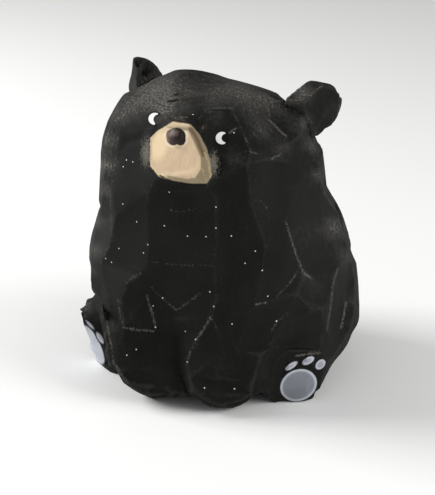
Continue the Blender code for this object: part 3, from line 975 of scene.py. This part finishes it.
# The mesh stays fine where there are marks, and is thinned out elsewhere.
pixels, _ = seen(wood.points)
marked = inside_any(pixels, MARKED) > 0
marked |= np.min([from_line(pixels, line) for _, line in WORN + SPLITS_AND_SHADE_LINES], axis=0) < MARK_ROOM
marked |= from_nearest(pixels, SPECKS) < MARK_ROOM
on_sole = inside_ellipse(pixels, *RIGHT_SOLE) > 0
marked &= wood.facing @ FORWARD < np.where(on_sole, SOLE_TURNED_AWAY, TURNED_AWAY)
hidden = np.flatnonzero(~wood.in_view(wood.tree()))
unseen = wood.points[CHANCE.choice(hidden, SPECKS_UNSEEN)]
marked |= from_nearest(wood.points, unseen) < 3 * SPECK_RADIUS
wood = Wood(thin_out(wood.mesh, marked))
wood.points = np.clip(wood.points, low, high)
wood.facing = wood.normals()

fields = marks(wood, unseen)
for name, values in fields.items():
    note(wood.mesh, name, values)

bear = put("carved_bear", wood.mesh)
wood.mesh.materials.clear()


def linear(code):
    """An sRGB hex colour as linear light."""
    parts = [int(code[place:place + 2], 16) / 255 for place in (1, 3, 5)]
    return (*(part / 12.92 if part <= 0.04045 else ((part + 0.055) / 1.055) ** 2.4 for part in parts), 1.0)


def add(tree, kind, inputs=None, **settings):
    """One shader node with its settings, each input given a value or linked to an output."""
    made = tree.nodes.new("ShaderNode" + kind)
    for name, value in settings.items():
        setattr(made, name, value)
    for name, value in (inputs or {}).items():
        if isinstance(value, bpy.types.NodeSocket):
            tree.links.new(value, made.inputs[name])
        else:
            made.inputs[name].default_value = value
    return made


# Grains and stains: how fine across, deep and high (waves in a mm), detail and roughness.
PATTERNS = {
    # Slow change of tone where the brush left more or less paint.
    "cloud": ((0.11, 0.11, 0.07), 3.0, 0.55),
    # Dents and crumbled patches of paint, a millimetre or two wide.
    "dent": ((0.55, 0.55, 0.45), 4.0, 0.7),
    # Brush hairs and wood grain running up and down under the paint.
    "grain": ((2.3, 2.3, 0.28), 3.0, 0.6),
    # Broken, dusty breaks in the paint about half a millimetre wide.
    "dust": ((2.0, 2.0, 1.5), 4.0, 0.65),
    # Finest tooth of the paint, drawn coarser than it is.
    "tooth": ((3.4, 3.4, 3.4), 2.0, 0.5),
    # Stains in the bare wood, a few millimetres wide.
    "stain": ((0.35, 0.35, 0.16), 2.0, 0.5),
}

# Where a pattern by itself changes the paint: the pattern, and from where to where it takes over.
PATTERN_MASKS = {
    "clouds": ("cloud", 0.35, 0.65),
    "hairs": ("grain", 0.4, 0.7),
    "stains": ("stain", 0.4, 0.65),
    "lines": ("grain", 0.5, 0.62),
    "flecks": ("dust", 0.62, 0.72),
}

# A mark's field, from where to where it takes over in pixels, and the pattern and the amount that
# break its rim.
MASKS = {
    "white": ("white", -0.3, 0.5, "tooth", 0.3),
    "eyeball": ("eyeball", -1.9, -0.8, "tooth", 0.5),
    "faded pupil": ("faded pupil", -0.6, 1.2, "dust", 2.0),
    "pad rim": ("pad", -1.8, -0.9, "tooth", 0.8),
    "pad": ("pad", -0.5, 0.5, "tooth", 0.7),
    "pad painted shade": ("left pad shade", 0.8, 3.0, "cloud", 1.5),
    "toe rim": ("toe", -1.7, -0.8, "tooth", 0.8),
    "toe": ("toe", -0.5, 0.5, "tooth", 0.6),
    "toe middle": ("toe", 0.8, 2.2, "cloud", 1.0),
    "halo": ("nose", -3.2, -1.2, "dust", 1.5),
    "nose": ("nose", -0.4, 0.4, "tooth", 0.6),
    "nose red lit side": ("red lit side", -0.5, 1.5, "dust", 2.0),
    "nose painted sheen": ("painted sheen", 0.0, 2.0, "dust", 9.0),
    "front": ("front", -0.6, 0.6, "dust", 0.8),
    "bare": ("bare", -0.8, 0.8, "dust", 2.2),
    "ridge": ("ridge", 0.0, 1.4, "dust", 1.6),
    "shade": ("shade", 0.0, 2.2, "dust", 2.4),
    "painted lit side": ("painted lit side", -1.0, 4.0, "dust", 3.0),
    "painted light": ("painted light", 0.0, 9.0, "stain", 5.0),
    "fringe": ("fringe", 2.0, 7.5, "dust", 20.0),
    "split": ("split", -0.6, 0.5, "tooth", 0.5),
    "worn": ("worn", 0.35, 1.15, "dust", 2.5),
    "edge": ("edge", 0.03, 0.16, "dust", 0.4),
    "rubbed and lit": ("rubbed and lit", 0.95, 1.9, "dust", 4.4),
    "rubbed and lit haze": ("rubbed and lit", 0.1, 1.2, "dent", 1.1),
    "speck": ("speck", 0.35, 0.55, "tooth", 0.2),
}
# Masks that only count where another one does.
WITHIN = {"front": ("stains", "lines", "painted light", "halo"), "bare": ("shade", "ridge", "painted lit side")}
# How far the roughness goes up and down over a finish.
SHEEN_CHANGE = 0.07


def taken_over(tree, value, low, high):
    """0 below the low value, 1 above the high one, and smooth between."""
    inputs = {"Value": value, "From Min": low, "From Max": high}
    return add(tree, "MapRange", inputs, interpolation_type="SMOOTHSTEP").outputs[0]


def wood_and_paint(name, roughness, specular):
    """The whole carving's colours and relief, with the sheen of one of its finishes."""
    material = bpy.data.materials.new(name)
    material.use_nodes = True
    tree = material.node_tree
    place = add(tree, "TexCoord").outputs["Object"]
    noise = {}
    for pattern, (waves, detail, rough) in PATTERNS.items():
        scaled = add(tree, "Mapping", {"Vector": place, "Scale": [wave / MM for wave in waves]})
        inputs = {"Vector": scaled.outputs[0], "Scale": 1.0, "Detail": detail, "Roughness": rough}
        noise[pattern] = add(tree, "TexNoise", inputs).outputs["Fac"]
    mask = {}
    for key, (mark, low, high, pattern, amount) in MASKS.items():
        inside = add(tree, "Attribute", attribute_name=mark).outputs["Fac"]
        inputs = {0: noise[pattern], 1: amount, 2: -0.5 * amount}
        shifted = add(tree, "Math", inputs, operation="MULTIPLY_ADD")
        broken = add(tree, "Math", {0: inside, 1: shifted.outputs[0]})
        mask[key] = taken_over(tree, broken.outputs[0], low, high)
    for key, (pattern, low, high) in PATTERN_MASKS.items():
        mask[key] = taken_over(tree, noise[pattern], low, high)

    # Each coat goes over the ones before it: mask, how opaque, and colour.
    coats = [
        # Thin black with a brown cast, blacker where it lies thick.
        ("clouds", 0.6, "#1b1b19"), ("hairs", 0.25, "#1e1d1c"), ("flecks", 0.25, "#33322f"),
        # Black rubbed down to grey, as haze and as broken dust, partly painted light on the head top and
        # left side.
        ("rubbed and lit haze", 0.8, "#3e3d3a"), ("rubbed and lit", 0.75, "#83817b"),
        # Bare arrises.
        ("edge", 0.2, "#45443f"), ("worn", 0.5, "#77746a"),
        ("fringe", 0.6, "#807a70"),
        # The muzzle: brown sides, partly painted shade on the right and below, pale front with warm and cool
        # stains and fine upright lines.
        ("bare", 1.0, "#95866a"), ("bare shade", 0.7, "#5c4330"), ("bare ridge", 0.7, "#c3b58e"),
        # Painted light on the rim's left and top.
        ("bare painted lit side", 0.8, "#d9c29c"),
        ("front", 1.0, "#ccb393"), ("front stains", 0.5, "#bca387"), ("front lines", 0.25, "#b0946f"),
        # Painted light on the left of the front, then a paler ring round the nose.
        ("front painted light", 0.8, "#ecd3ac"), ("front halo", 0.7, "#ecd9bd"),
        # Splits, and painted shade under the brow and the muzzle.
        ("split", 0.95, "#0c0c0c"),
        # The nose: dark red-brown, with painted light on its redder left side and a greyer painted sheen on
        # top.
        ("nose", 1.0, "#1c0c0a"), ("nose red lit side", 0.8, "#5c2f1a"), ("nose painted sheen", 0.5, "#786259"),
        ("eyeball", 0.9, "#0e0d0e"), ("faded pupil", 0.75, "#3e3733"), ("white", 1.0, "#f4f4f2"),
        # Pads: cool grey with paler rims, ringed in black, with painted shade over the left pad's middle.
        ("pad rim", 0.9, "#0e0e11"), ("pad", 1.0, "#b3b6be"), ("pad painted shade", 0.9, "#75787f"),
        ("toe rim", 0.9, "#0e0e11"), ("toe", 1.0, "#b0b0b8"), ("toe middle", 0.7, "#87878f"),
        ("speck", 0.9, "#f0f0ec"),
    ]
    for whole, parts in WITHIN.items():
        for part in parts:
            both = add(tree, "Math", {0: mask[whole], 1: mask[part]}, operation="MULTIPLY")
            mask[f"{whole} {part}"] = both.outputs[0]
    colour = add(tree, "RGB").outputs[0]
    colour.default_value = linear("#121211")
    for key, opaque, code in coats:
        share = add(tree, "Math", {0: mask[key], 1: opaque}, operation="MULTIPLY")
        over = add(tree, "Mix", {0: share.outputs[0], 6: colour, 7: linear(code)}, data_type="RGBA")
        colour = over.outputs[2]

    fine = add(tree, "Math", {0: noise["grain"], 1: 0.6, 2: noise["tooth"]}, operation="MULTIPLY_ADD")
    height = add(tree, "Math", {0: noise["dent"], 1: 2.5, 2: fine.outputs[0]}, operation="MULTIPLY_ADD")
    relief = add(tree, "Bump", {"Strength": 0.6, "Distance": 0.05 * MM, "Height": height.outputs[0]})
    shader = tree.nodes["Principled BSDF"]
    tree.links.new(colour, shader.inputs["Base Color"])
    tree.links.new(relief.outputs[0], shader.inputs["Normal"])
    least, most = roughness - SHEEN_CHANGE, roughness + SHEEN_CHANGE
    sheen = add(tree, "MapRange", {"Value": noise["dust"], "To Min": least, "To Max": most})
    tree.links.new(sheen.outputs[0], shader.inputs["Roughness"])
    shader.inputs["Specular IOR Level"].default_value = specular
    return material


# The finishes, with their roughness and specular level.
for finish in (
    ("matt black paint on knife-cut wood", 0.72, 0.1), ("bare sanded wood", 0.6, 0.25),
    ("varnished nose", 0.5, 0.35),
):
    wood.mesh.materials.append(wood_and_paint(*finish))
for face in wood.mesh.polygons:
    face.use_smooth = True
    first = face.vertices[0]
    if fields["nose"][first] > 0:
        face.material_index = 2
    elif fields["bare"][first] > 0:
        face.material_index = 1

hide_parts("bear")
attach(bear, "root")

floor_mesh = bmesh.new()
bmesh.ops.create_grid(floor_mesh, x_segments=1, y_segments=1, size=4000 * MM)
floor_data = bpy.data.meshes.new("floor")
floor_mesh.to_mesh(floor_data)
floor_mesh.free()
floor = put("floor", floor_data)
pale = bpy.data.materials.new("pale paper")
pale.use_nodes = True
paper = pale.node_tree.nodes["Principled BSDF"].inputs
paper["Base Color"].default_value = linear("#fbfbfa")
paper["Roughness"].default_value = 0.9
floor_data.materials.append(pale)


def soft_light(name, place, size, strength):
    """A square light that faces the bear."""
    data = bpy.data.lights.new(name, "AREA")
    data.shape = "SQUARE"
    data.size = size * MM
    data.energy = strength
    lamp = put(name, data)
    lamp.location = Vector(place) * MM
    lamp.rotation_euler = (Vector((0, 0, 45)) - Vector(place)).to_track_quat("-Z", "Y").to_euler()


soft_light("window", (-560, -80, 330), 350, 4.4)
soft_light("room", (560, -40, 300), 400, 2.6)

world = bpy.data.worlds.new("studio")
bpy.context.scene.world = world
world.use_nodes = True
surroundings = world.node_tree.nodes["Background"].inputs
surroundings["Color"].default_value = (1, 1, 1, 1)
surroundings["Strength"].default_value = 0.34

camera_data = bpy.data.cameras.new("camera")
camera_data.sensor_fit = "HORIZONTAL"
camera_data.sensor_width = SENSOR_WIDTH
camera_data.lens = FOCAL_PIXELS / PICTURE_WIDTH * SENSOR_WIDTH
camera_data.clip_start = 0.01
camera_data.clip_end = 20.0
camera = put("camera", camera_data)
turn = Matrix((RIGHT, UP, -FORWARD)).transposed().to_4x4()
camera.matrix_world = Matrix.Translation(Vector(CAMERA_PLACE) * MM) @ turn
bpy.context.scene.camera = camera
bpy.context.scene.view_settings.view_transform = "Standard"
